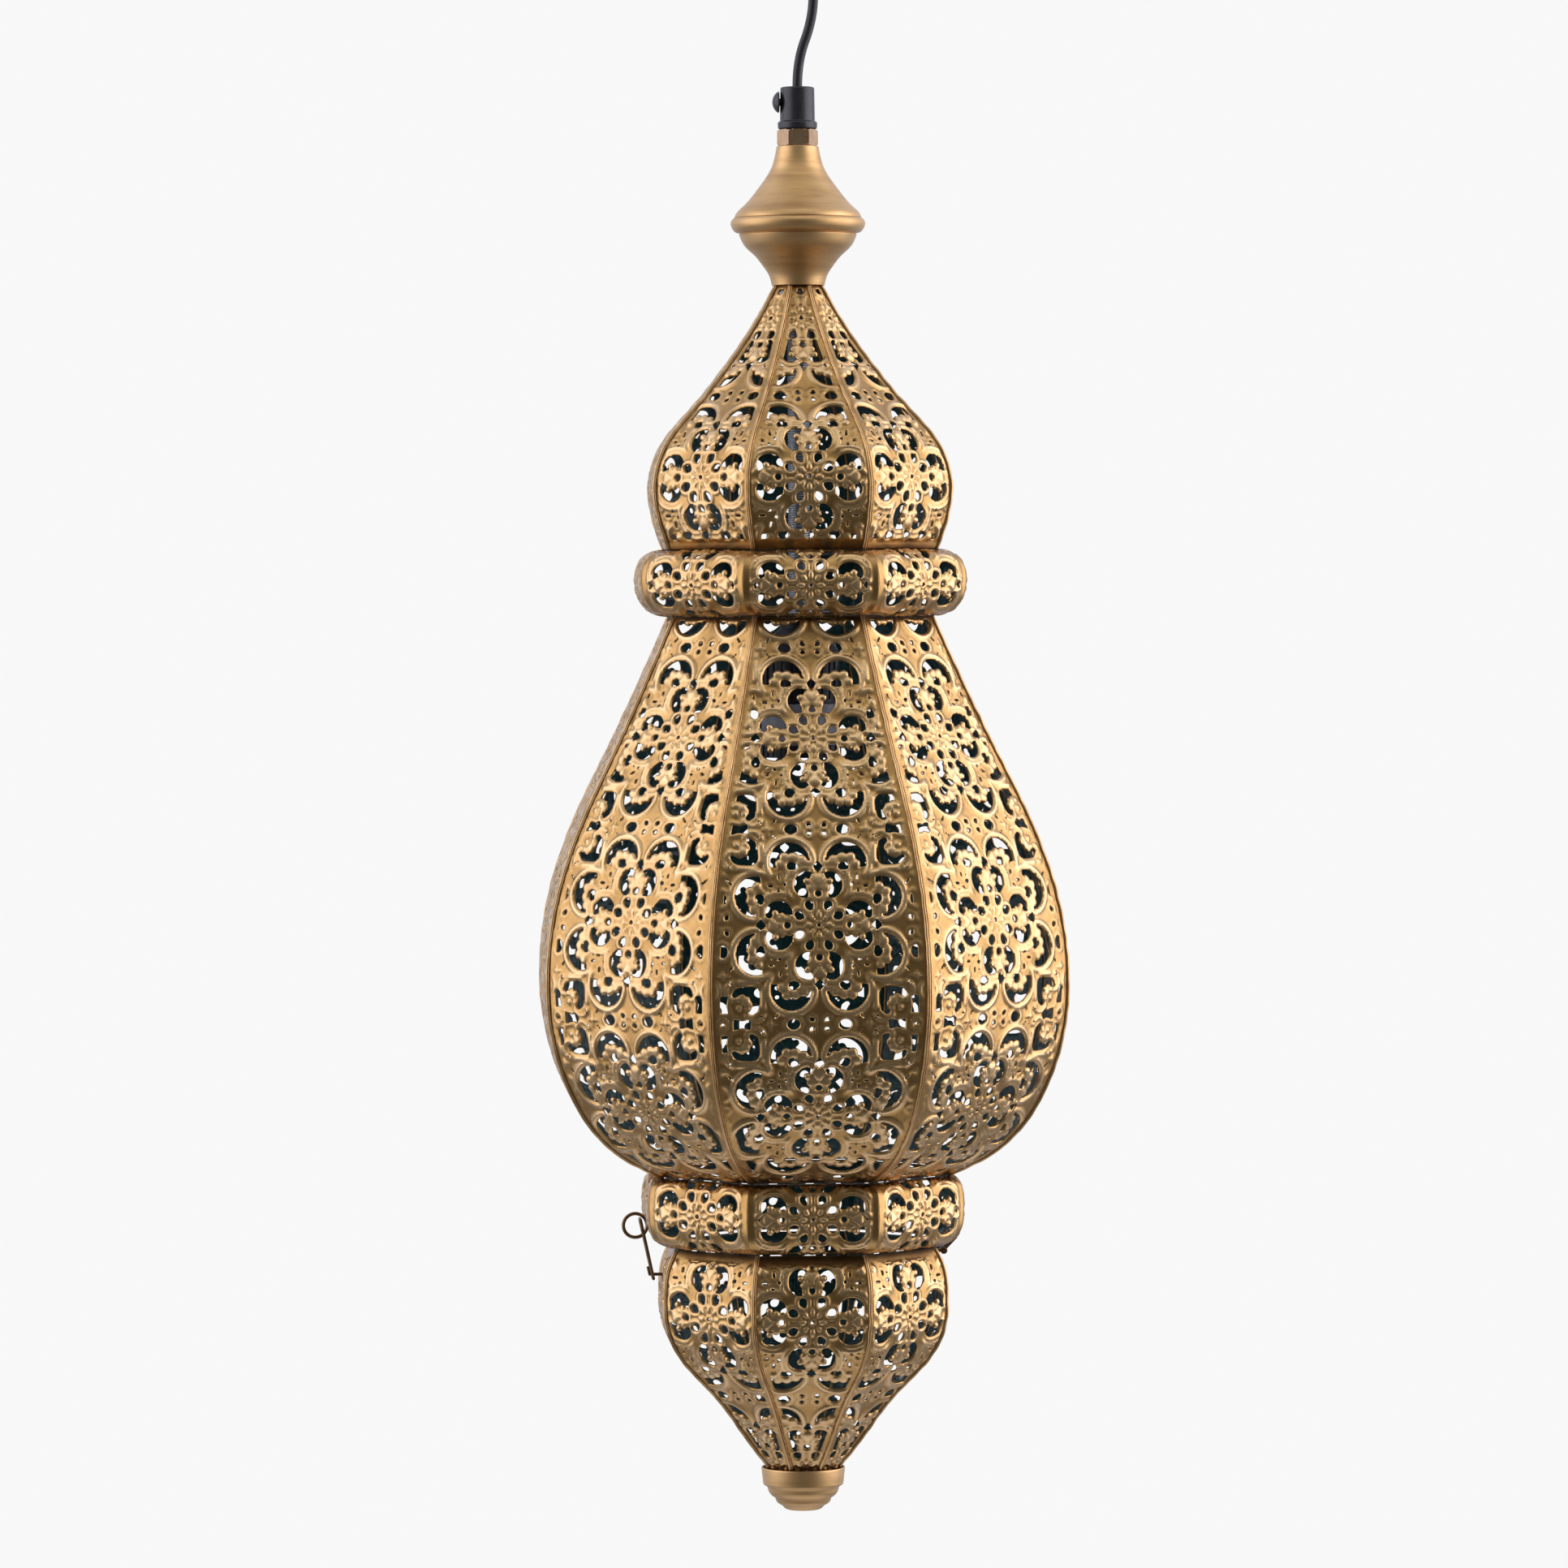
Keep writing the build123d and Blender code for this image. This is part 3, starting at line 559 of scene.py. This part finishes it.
def grid_triangles(columns, rows):
    """Triangles between the points of a grid, with diagonals that turn from cell to cell."""
    cells = (np.arange(rows - 1)[:, None] * columns + np.arange(columns - 1)[None]).ravel()
    parity = ((cells // columns + cells % columns) % 2).astype(bool)
    a, b, c, d = cells, cells + 1, cells + columns + 1, cells + columns
    return np.concatenate([
        np.stack([a, d, c], 1)[parity], np.stack([a, c, b], 1)[parity],
        np.stack([a, d, b], 1)[~parity], np.stack([b, d, c], 1)[~parity],
    ])


def front_back_and_rim(triangles, count):
    """Faces of a closed sheet whose back points follow its count front points."""
    edges = np.concatenate([triangles[:, [0, 1]], triangles[:, [1, 2]], triangles[:, [2, 0]]])
    key = np.sort(edges, axis=1) @ np.array([count, 1])
    _, where, times = np.unique(key, return_index=True, return_counts=True)
    rim = edges[where[times == 1]]
    return np.concatenate([
        triangles,
        triangles[:, ::-1] + count,
        np.stack([rim[:, 1], rim[:, 0], rim[:, 0] + count], 1),
        np.stack([rim[:, 1], rim[:, 0] + count, rim[:, 1] + count], 1),
    ])


def pierced_panel(section):
    """One side's pressed and pierced sheet about -Y, as a closed mesh: u runs across it and s down it."""
    curve = Curve(section.outline)
    centre = curve.along(section.rosette_depth)
    slope = math.tan(HALF_ANGLE)
    gap = SEAM_HALF / math.cos(HALF_ANGLE) if section.seam_end else 0.0

    def metal_and_relief(u, s):
        """Above 0 where there is metal, and the height of the relief."""
        to_edge = curve.at(s)[0] * slope - np.abs(u)
        to_end = curve.length - s
        clear, relief = pattern(u / UNIT_ACROSS, (s - centre) / UNIT_ALONG)
        clear = clear * UNIT_ALONG + section.tighter
        plain = highest(section.margin - to_edge, section.top_margin - s, section.end_margin - to_end)
        field = np.minimum(np.maximum(clear, plain), to_edge - gap)
        relief = relief * gate(to_edge, section.margin - INTO_MARGIN, RELIEF_FADE)
        relief = relief * gate(s, section.top_margin - INTO_END, RELIEF_FADE)
        relief = relief * gate(to_end, section.end_margin - INTO_END, RELIEF_FADE)
        return field, relief

    half = curve.radius.max() * slope
    across = np.linspace(-half, half, 2 * math.ceil(half / section.cell) + 1)
    down = np.linspace(0, curve.length, math.ceil(curve.length / section.cell) + 1)
    u, s = [grid.ravel() for grid in np.meshgrid(across, down)]
    field, _ = metal_and_relief(u, s)
    pairs, share, triangles = clip_to_metal(field, grid_triangles(len(across), len(down)))
    u = np.concatenate([u, u[pairs[:, 0]] + share * (u[pairs[:, 1]] - u[pairs[:, 0]])])
    s = np.concatenate([s, s[pairs[:, 0]] + share * (s[pairs[:, 1]] - s[pairs[:, 0]])])
    triangles = largest_piece(len(u), triangles)
    used, triangles = np.unique(triangles, return_inverse=True)
    triangles = triangles.reshape(-1, 3)
    u, s = u[used], s[used]

    _, relief = metal_and_relief(u, s)
    radius, depth, normal_r, normal_z = curve.at(s)
    lift = RELIEF_BASE + RELIEF_HEIGHT * relief

    def surface(offset):
        return np.stack([u, -(radius + normal_r * offset), -depth + normal_z * offset], 1)

    faces = front_back_and_rim(triangles, len(u))
    slot = np.zeros(len(faces))
    slot[len(triangles):2 * len(triangles)] = 1
    vertices = np.concatenate([surface(lift), surface(lift - SHEET)])
    # painted shade darkens the sheet near its top and end, where the sections join
    edge_shade = EDGE_SHADE * ridge(np.minimum(s, curve.length - s), EDGE_SHADE_WIDTH)
    shade = np.tile(relief - edge_shade, 2)
    return mesh_from(section.name + "_sheet", vertices, faces, slot, [GOLD, TEAL], shade)


def top_of(node):
    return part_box(node)[1][2]


def place(mesh, name, z, turn, body, slot, *nodes):
    """An object of a mesh at a height (metres), turned about the axis, that stands for CAD nodes."""
    piece = bpy.data.objects.new(name, mesh)
    bpy.context.scene.collection.objects.link(piece)
    piece.location = (0, 0, z)
    piece.rotation_euler = (0, 0, turn)
    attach(piece, body)
    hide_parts(*nodes)
    return piece


for section in SECTIONS:
    mesh = pierced_panel(section)
    for side in range(SIDES):
        node = f"{section.name}_panel_{side + 1}" if section.seam_end else section.name
        place(mesh, f"{section.name}_sheet_{side + 1}", top_of(node), 2 * HALF_ANGLE * side, section.body,
              "antique_gold_sheet", node)

# ---------------------------------------------------------------- corner seams
# across the corner, height over the sheet: a folded ridge, a gap, and the next panel's thin lip
SEAM_SECTION = [(-1.05, -0.90), (-0.98, -0.05), (-0.80, 0.30), (-0.45, 0.58), (-0.10, 0.62), (0.22, 0.46),
                (0.40, 0.05), (0.50, -0.40), (0.60, -0.38), (0.68, 0.02), (0.82, 0.22), (0.98, 0.02),
                (1.05, -0.90)]
SEAM_STEP = 1.1
SEAM_WAVES = 7


def closed_mesh(name, rings, material, wrap=False):
    """A closed mesh through rings of points (ring, point, xyz) in mm; open ends are filled."""
    count, around = rings.shape[:2]
    index = np.arange(count * around).reshape(count, around)
    low, high = (index, np.roll(index, -1, 0)) if wrap else (index[:-1], index[1:])
    a, b, c, d = low.ravel(), np.roll(low, -1, 1).ravel(), np.roll(high, -1, 1).ravel(), high.ravel()
    faces = [np.stack([a, b, c], 1), np.stack([a, c, d], 1)]
    vertices = rings.reshape(-1, 3)
    if not wrap:
        middles = np.stack([rings[0].mean(0), rings[-1].mean(0)])
        first, last = index[0], index[-1]
        hub = np.full(around, count * around)
        faces.append(np.stack([hub, np.roll(first, -1), first], 1))
        faces.append(np.stack([hub + 1, last, np.roll(last, -1)], 1))
        vertices = np.concatenate([vertices, middles])
    faces = np.concatenate(faces)
    p, q, r = (vertices[faces[:, k]] for k in range(3))
    if (p * np.cross(q, r)).sum() < 0:
        faces = faces[:, ::-1]
    return mesh_from(name, vertices, faces, np.zeros(len(faces)), [material])


def seam_mesh(section, seed):
    """The seam along one corner, about -Y, with the slight unevenness of soldered work."""
    curve = Curve(section.outline)
    to_corner = 1 / math.cos(HALF_ANGLE)
    end = curve.along(section.seam_end)
    s = np.linspace(0, end, math.ceil(end / SEAM_STEP))
    radius, depth, normal_r, normal_z = curve.at(s)
    rng = np.random.default_rng(seed)
    wave = sum(rng.uniform(0.02, 0.06) * np.sin(s * rng.uniform(0.1, 0.9) + rng.uniform(0, 6))
               for _ in range(SEAM_WAVES))
    rings = np.empty((len(s), len(SEAM_SECTION), 3))
    for k, (across, rise) in enumerate(SEAM_SECTION):
        rise = rise + wave * (0.9 if rise > 0 else 0.0)
        rings[:, k] = np.stack([across + 0.5 * wave, -(radius * to_corner + normal_r * rise),
                                -depth + normal_z * rise], 1)
    return closed_mesh(section.name + "_seam", rings, SEAM_GOLD)


for seed, section in enumerate(SECTIONS):
    if section.seam_end:
        seams = section.name + "_seams"
        mesh = seam_mesh(section, seed)
        for side in range(SIDES):
            turn = HALF_ANGLE * (2 * side + 1)
            name = f"{section.name}_seam_{side + 1}"
            place(mesh, name, top_of(seams), turn, section.body, "gold_seams", seams)

# ---------------------------------------------------------------- turned pieces
CORNER_POINTS = 5
# a rounding takes up no more than this share of the sides that meet there
LONGEST_ROUNDING = 0.45


def rounded(points, radius):
    """A closed polygon of (r, depth) corners with every corner rounded."""
    p = np.array(points, float)
    before, after = np.roll(p, 1, 0) - p, np.roll(p, -1, 0) - p
    out = []
    for corner, one, two in zip(p, before, after):
        size_one, size_two = np.hypot(*one), np.hypot(*two)
        start = corner + one / size_one * min(radius, LONGEST_ROUNDING * size_one)
        end = corner + two / size_two * min(radius, LONGEST_ROUNDING * size_two)
        for t in np.linspace(0, 1, CORNER_POINTS):
            out.append((1 - t) ** 2 * start + 2 * t * (1 - t) * corner + t * t * end)
    return np.array(out)


def turned_piece(name, profile, material, top_z, body, slot, *nodes, segments=144):
    """A solid of revolution from a closed (r, depth) profile in mm, hung at a height in metres."""
    angle = np.linspace(0, 2 * math.pi, segments, endpoint=False)
    r, depth = np.asarray(profile).T
    rings = np.stack([np.outer(np.cos(angle), r), np.outer(np.sin(angle), r),
                      np.outer(np.ones(segments), -depth)], 2)
    return place(closed_mesh(name, rings, material, wrap=True), name, top_z, 0.0, body, slot, *nodes)


def shell_profile(outline, floor_at_end=False):
    """A spun shell with a bored floor at its top or at its end: its outside, then its inside."""
    curve = Curve(outline, 120)
    outer = np.stack([curve.radius, curve.depth], 1)
    inner = np.stack([curve.radius - curve.normal_r * SPUN_WALL, curve.depth + curve.normal_z * SPUN_WALL], 1)
    inner = inner[::-1]
    if floor_at_end:
        end = outline[-1][1]
        inner = inner[inner[:, 1] < end - SPUN_FLOOR]
        return np.concatenate([outer, [(FINIAL_BORE, end), (FINIAL_BORE, end - SPUN_FLOOR)], inner])
    inner = inner[inner[:, 1] > SPUN_FLOOR]
    return np.concatenate([outer, inner, [(FINIAL_BORE, SPUN_FLOOR), (FINIAL_BORE, 0.0)]])


def cap_profile():
    inside = [(max(r - CAP_WALL, CAP_AXIS), max(depth - CAP_WALL, 0.0)) for r, depth in CAP_STEPS]
    floor_edge = [(CAP_AXIS, CAP_STEPS[-1][1]), (CAP_AXIS, inside[-1][1])]
    return rounded(CAP_STEPS + floor_edge + inside[::-1], CAP_ROUNDING)


def cup_profile():
    curve = Curve(CUP_OUTLINE, 90)
    outer = np.stack([curve.radius, curve.depth], 1)
    inner = np.stack([curve.radius - curve.normal_r * CUP_WALL, curve.depth - CUP_WALL], 1)
    inner = inner[inner[:, 1] > CUP_WALL][::-1]
    lip = [(inner[-1][0], CUP_WALL), (CUP_LIP_RADIUS, CUP_WALL), (CUP_LIP_RADIUS, 0.0)]
    return np.concatenate([outer, CUP_MOUTH, inner, lip])


turned_piece("finial_upper", shell_profile(FINIAL_TOP_OUTLINE), SPUN, top_of("finial_upper_cone"),
             "lantern", "spun_brass", "finial_upper_cone")
turned_piece("finial_bead_ring", rounded(BEAD_SECTION, BEAD_ROUNDING), SPUN, top_of("finial_bead"),
             "lantern", "spun_brass", "finial_bead")
turned_piece("finial_lower", shell_profile(FINIAL_BOTTOM_OUTLINE, floor_at_end=True), SPUN,
             top_of("finial_lower_cone"), "lantern", "spun_brass", "finial_lower_cone")
turned_piece("bowl_cap", cap_profile(), SPUN, top_of("bottom_cap"), "bowl", "spun_brass", "bottom_cap")
turned_piece("cup", cup_profile(), SPUN, top_of("ceiling_cup"), "lantern", "spun_brass", "ceiling_cup")

lower_barrel = rounded(GRIP_BARREL, GRIP_ROUNDING)
upper_barrel = np.stack([lower_barrel[:, 0], GRIP_LENGTH - lower_barrel[:, 1]], 1)
turned_piece("lower_grip", lower_barrel, BLACK, top_of("cord_grip"), "lantern", "black_plastic", "cord_grip",
             segments=96)
turned_piece("upper_grip", upper_barrel, BLACK, top_of("cup_cord_grip"), "lantern", "black_plastic",
             "cup_cord_grip", segments=96)

# ---------------------------------------------------------------- lock nut and threaded rod, in mm
NUT_DEPTHS = np.array([0.0, 0.0, 0.25, 0.6, 1.0, 1.5, 5.9, 6.4, 6.8, 7.15, 7.4, 7.4])
NUT_CORNER = 8.8
NUT_BORE = 5.0
NUT_FACE_RADIUS = 7.5
NUT_CHAMFER_SLOPE = 1.75
ROD_RADIUS = 5.0
ROD_BORE = 3.4
THREAD_PITCH = 1.0
THREAD_DEPTH = 0.62


def lock_nut_mesh():
    """A hexagon nut with both faces chamfered."""
    angle = np.linspace(0, 2 * math.pi, 180, endpoint=False)
    hexagon = NUT_CORNER * math.cos(math.pi / 6) / np.cos((angle % (math.pi / 3)) - math.pi / 6)
    from_face = np.minimum(NUT_DEPTHS, NUT_DEPTHS[-1] - NUT_DEPTHS)
    chamfer = NUT_FACE_RADIUS + NUT_CHAMFER_SLOPE * from_face
    radius = np.minimum(hexagon[:, None], chamfer[None])
    radius[:, [0, -1]] = NUT_BORE
    rings = np.stack([radius * np.cos(angle)[:, None], radius * np.sin(angle)[:, None],
                      -NUT_DEPTHS[None] * np.ones((len(angle), 1))], 2)
    mesh = closed_mesh("lock_nut", rings, NUT, wrap=True)
    mesh.polygons.foreach_set("use_smooth", np.zeros(len(mesh.polygons), bool))
    return mesh


def rod_mesh(length):
    """A hollow rod with a V thread, as rings that follow the thread."""
    down = np.linspace(0, length, math.ceil(length / THREAD_PITCH) * 4 + 1)
    angle = np.linspace(0, 2 * math.pi, 28, endpoint=False)
    phase = (down[:, None] / THREAD_PITCH + angle[None] / (2 * math.pi)) % 1.0
    thread = ROD_RADIUS - THREAD_DEPTH * (1 - np.abs(2 * phase - 1))
    bore = np.full((2, len(angle)), ROD_BORE)
    radius = np.concatenate([thread, bore])
    depth = np.concatenate([down, [length, 0.0]])[:, None] * np.ones(len(angle))
    rings = np.stack([radius * np.cos(angle), radius * np.sin(angle), -depth], 2)
    return closed_mesh("rod_thread", rings, ZINC, wrap=True)


place(lock_nut_mesh(), "lock_nut", top_of("top_lock_nut"), 0.0, "lantern", "nut_brass", "top_lock_nut")
rod_low, rod_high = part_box("threaded_rod")
place(rod_mesh((rod_high[2] - rod_low[2]) / MM), "rod_thread", rod_high[2], 0.0, "lantern", "zinc_steel",
      "threaded_rod")

# ---------------------------------------------------------------- flex
grip_top = top_of("cord_grip")
flex_data = bpy.data.curves.new("flex_cable", "CURVE")
flex_data.dimensions = "3D"
flex_data.resolution_u = 24
flex_data.bevel_depth = FLEX_RADIUS * MM
flex_data.bevel_resolution = 8
flex_data.use_fill_caps = True
line = flex_data.splines.new("NURBS")
line.points.add(len(FLEX_ROUTE) - 1)
for point, (x, height) in zip(line.points, FLEX_ROUTE):
    point.co = (x * MM, 0, grip_top + height * MM, 1)
line.order_u = 3
line.use_endpoint_u = True
flex_data.materials.append(SHEATH)
flex = bpy.data.objects.new("flex_cable", flex_data)
bpy.context.scene.collection.objects.link(flex)
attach(flex, "lantern")
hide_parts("flex")

# ---------------------------------------------------------------- pieces kept from the solid model
KEPT = {
    ZINC: ["ceiling_bracket", "cup_nipple", "retaining_washer", "retaining_nut"],
    NUT: ["cup_side_screws", "cup_nut"],
    BLACK: ["cup_grip_screw", "cord_grip_screw", "lamp_holder_cap", "lamp_holder_ring"],
    HOLDER: ["lamp_holder_skirt", "contact_block"],
    CONTACT: ["screw_shell", "centre_contact"],
    WIRE: ["hinge_band_leaf", "hinge_bowl_leaf", "hinge_pin", "latch_eye", "latch_link", "latch_hook"],
}
# width of the rounding given to the edges of some of them, in mm
SOFTENED = {"cup_nut": 0.4, "cord_grip_screw": 0.3, "cup_grip_screw": 0.3, "lamp_holder_skirt": 0.4,
            "retaining_nut": 0.3, "hinge_bowl_leaf": 0.15, "lamp_holder_cap": 0.2}
WELD_DISTANCE = 0.00002
SHARP_ANGLE = math.radians(25)

for material, names in KEPT.items():
    for name in names:
        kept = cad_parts[name]
        if not kept.material_slots:
            kept.data.materials.append(material)
        for material_slot in kept.material_slots:
            material_slot.material = material
        if name in SOFTENED:
            weld = kept.modifiers.new("weld", "WELD")
            weld.merge_threshold = WELD_DISTANCE
            soften = kept.modifiers.new("soften", "BEVEL")
            soften.width = SOFTENED[name] * MM
            soften.segments = 3
            soften.limit_method = "ANGLE"
            soften.angle_limit = SHARP_ANGLE

# ---------------------------------------------------------------- floor, world and light
FLOOR_HALF = 0.7
FLOOR_Z = -1.6
CENTRE = (0, 0, -0.42)
SOFTBOX_SIDEWAYS = 2.1
SOFTBOX_SIZE = (2.4, 3.0)
SOFTBOX_COLOUR = (1.0, 0.95, 1.0)
BACKDROP = (0.94, 0.94, 0.94, 1)
# the room that the metal reflects: dim towards the camera and below, bright behind and above
FRONT_TO_BACK = [(0.0, grey(0.15)), (0.24, grey(0.44)), (0.62, (0.99, 1.03, 1.22))]
BELOW_TO_ABOVE = [(0.2, grey(0.40)), (0.5, grey(0.9)), (0.8, grey(1.0))]
ROOM_STRENGTH = 0.9


def area_light(name, where, towards, size, power, colour=(1, 1, 1)):
    data = bpy.data.lights.new(name, "AREA")
    data.shape = "RECTANGLE"
    data.size, data.size_y = size
    data.energy = power
    data.color = colour
    light = bpy.data.objects.new(name, data)
    bpy.context.scene.collection.objects.link(light)
    light.location = where
    light.rotation_euler = (Vector(towards) - Vector(where)).to_track_quat("-Z", "Y").to_euler()


floor_mesh = bpy.data.meshes.new("floor")
corners = [(x * FLOOR_HALF, y * FLOOR_HALF, 0) for x, y in ((-1, -1), (1, -1), (1, 1), (-1, 1))]
floor_mesh.from_pydata(corners, [], [(0, 1, 2, 3)])
floor_mesh.materials.append(FLOOR)
floor = bpy.data.objects.new("floor", floor_mesh)
bpy.context.scene.collection.objects.link(floor)
floor.location = (0, 0, FLOOR_Z)

for name, side, power in (("softbox_left", -1, 34), ("softbox_right", 1, 52)):
    area_light(name, (SOFTBOX_SIDEWAYS * side, -0.45, 0.08), CENTRE, SOFTBOX_SIZE, power, SOFTBOX_COLOUR)
area_light("top_soft", (0, -0.9, 1.5), CENTRE, (1.6, 1.2), 5)

world = bpy.data.worlds.new("studio")
bpy.context.scene.world = world
world.use_nodes = True
world_nodes, world_links = world.node_tree.nodes, world.node_tree.links
world_nodes.clear()
ray = add(world_nodes, "ShaderNodeLightPath")
seen = add(world_nodes, "ShaderNodeBackground", in_Color=BACKDROP, in_Strength=1.0)
lit = add(world_nodes, "ShaderNodeBackground", in_Strength=ROOM_STRENGTH)
direction = add(world_nodes, "ShaderNodeTexCoord")
axes = add(world_nodes, "ShaderNodeSeparateXYZ")
world_links.new(direction.outputs["Generated"], axes.inputs[0])
backwards = maths(world_nodes, world_links, "MULTIPLY_ADD", axes.outputs["Y"], 0.5, 0.5)
upwards = maths(world_nodes, world_links, "MULTIPLY_ADD", axes.outputs["Z"], 0.5, 0.5)
front = ramp(world_nodes, world_links, backwards, FRONT_TO_BACK)
above = ramp(world_nodes, world_links, upwards, BELOW_TO_ABOVE)
world_links.new(multiply(world_nodes, world_links, 1.0, front, above), lit.inputs["Color"])
choose = add(world_nodes, "ShaderNodeMixShader")
world_links.new(ray.outputs["Is Camera Ray"], choose.inputs[0])
world_links.new(lit.outputs[0], choose.inputs[1])
world_links.new(seen.outputs[0], choose.inputs[2])
output = add(world_nodes, "ShaderNodeOutputWorld")
world_links.new(choose.outputs[0], output.inputs["Surface"])
bpy.context.scene.view_settings.view_transform = "Standard"
